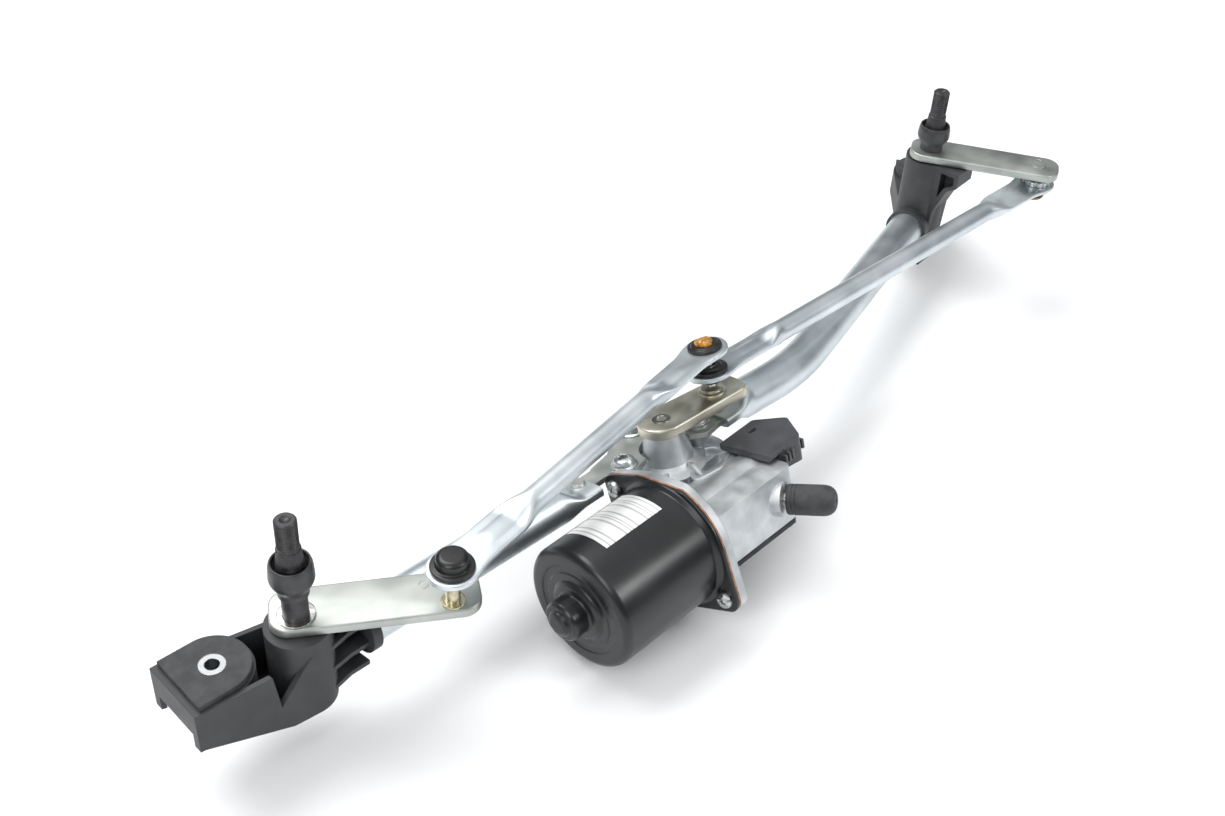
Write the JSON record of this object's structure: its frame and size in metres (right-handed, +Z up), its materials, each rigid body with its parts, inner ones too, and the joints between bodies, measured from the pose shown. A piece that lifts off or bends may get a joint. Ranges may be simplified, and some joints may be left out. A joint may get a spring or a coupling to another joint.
{
  "type": "windshield wiper drive linkage",
  "caption": "Windshield wiper linkage: motor and gearbox on a tube frame, driving two wiper spindles through crank links.",
  "frame": {"origin": "on the near wiper spindle's axis, at the seat of its thread, where the wiper arm's nut starts", "axes": "+X from the near spindle towards the far spindle, +Z up along both spindles, towards their threaded ends"},
  "size_m": [0.6342, 0.1614, 0.1312],
  "materials": {
    "zinc_steel": "bright zinc plate",
    "bright_steel": "ground and polished",
    "nickel_steel": "warm nickel plate",
    "black_oxide_steel": "black oxide, slightly oily",
    "bracket_plastic": "fine grained glass-filled nylon",
    "black_plastic": "moulded acetal",
    "grey_plastic": "moulded, dark grey",
    "rubber": "matt",
    "black_paint": "gloss black on drawn steel",
    "cast_aluminium": "as die-cast",
    "black_cover": "dark passivated sheet",
    "gasket_paper": "brown fibre gasket",
    "label_film": "white printed film, left blank",
    "bronze": "sintered, oil filled",
    "wheel_plastic": "natural acetal",
    "ferrite": "ground ferrite",
    "laminations": "stacked steel",
    "copper": "enamelled wire and bar",
    "carbon": "graphite",
    "tin": "tinned contact"
  },
  "bodies": {
    "frame": {"near_bracket": "bracket_plastic", "near_grommet": "rubber", "near_grommet_sleeve": "zinc_steel", "near_bearing_bush": "bronze", "near_frame_tube": "zinc_steel", "far_bracket": "bracket_plastic", "far_grommet": "rubber", "far_grommet_sleeve": "zinc_steel", "far_bearing_bush": "bronze", "far_frame_tube": "zinc_steel", "tube_pins": "zinc_steel", "motor_mount_plate": "zinc_steel", "mount_bolts": "zinc_steel", "gearbox_housing": "cast_aluminium", "gearbox_cover": "black_cover", "cover_seal": "rubber", "cover_screws": "zinc_steel", "output_bush": "bronze", "motor_can": "black_paint", "motor_gasket": "gasket_paper", "motor_screws": "zinc_steel", "motor_label": "label_film", "end_bearing": "bronze", "front_bearing": "bronze", "field_magnets": "ferrite", "brush_holder": "black_plastic", "carbon_brushes": "carbon", "rest_pin": "bright_steel", "rubber_rest": "rubber", "connector_housing": "grey_plastic", "connector_terminals": "tin"},
    "crank": {"motor_crank": "nickel_steel", "crank_stub": "nickel_steel", "output_shaft": "bright_steel", "worm_wheel": "wheel_plastic"},
    "armature": {"armature_shaft": "bright_steel", "armature_core": "laminations", "armature_winding": "copper", "commutator": "copper"},
    "near_rocker": {"near_spindle": "black_oxide_steel", "near_collar_cap": "black_plastic", "near_crank_plate": "zinc_steel", "near_ball_stud": "bright_steel", "near_seat_ring": "bright_steel", "near_retaining_ring": "bright_steel"},
    "far_rocker": {"far_spindle": "black_oxide_steel", "far_collar_cap": "black_plastic", "far_crank_plate": "zinc_steel", "far_ball_stud": "bright_steel", "far_retaining_ring": "bright_steel"},
    "near_link": {"near_link_rod": "zinc_steel", "near_link_cap": "black_plastic", "near_link_socket": "black_plastic", "crank_upper_ball": "bright_steel"},
    "far_link": {"far_link_rod": "zinc_steel", "far_link_boot": "black_plastic", "far_link_socket": "black_plastic", "crank_lower_ball": "bright_steel"}
  },
  "joints": [
    {"name": "crank_turn", "type": "hinge", "parent": "frame", "child": "crank", "pos_m": [0.2192, -0.0279, -0.0467], "axis": [0, -0.2924, -0.9563], "range_deg": [0, 180]},
    {"name": "near_swing", "type": "hinge", "parent": "frame", "child": "near_rocker", "pos_m": [0, 0, -0.06], "axis": [0, 0, -1], "range_deg": [-0.1, 58.05]},
    {"name": "far_swing", "type": "hinge", "parent": "frame", "child": "far_rocker", "pos_m": [0.527, 0, -0.06], "axis": [0, 0, -1], "range_deg": [-0.1, 61.47]},
    {"name": "near_link_turn", "type": "hinge", "parent": "near_rocker", "child": "near_link", "pos_m": [0.05171, -0.04416, -0.021], "axis": [-0.0117, 0.0145, 0.9998], "range_deg": [-0.1, 68.71]},
    {"name": "far_link_turn", "type": "hinge", "parent": "far_rocker", "child": "far_link", "pos_m": [0.55617, -0.06143, -0.036], "axis": [0.0057, -0.0127, 0.9999], "range_deg": [-0.1, 60.05]},
    {"name": "armature_spin", "type": "hinge", "parent": "frame", "child": "armature", "pos_m": [0.21677, -0.07309, -0.07576], "axis": [0.9976, -0.0667, 0.0204], "range_deg": [-1, 8641]}
  ],
  "couplings": [
    {"joint": "near_swing", "follows": "crank_turn", "ratio": 0.32194},
    {"joint": "far_swing", "follows": "crank_turn", "ratio": 0.34092},
    {"joint": "near_link_turn", "follows": "crank_turn", "ratio": 0.38117},
    {"joint": "far_link_turn", "follows": "crank_turn", "ratio": 0.33306},
    {"joint": "armature_spin", "follows": "crank_turn", "ratio": 48}
  ]
}
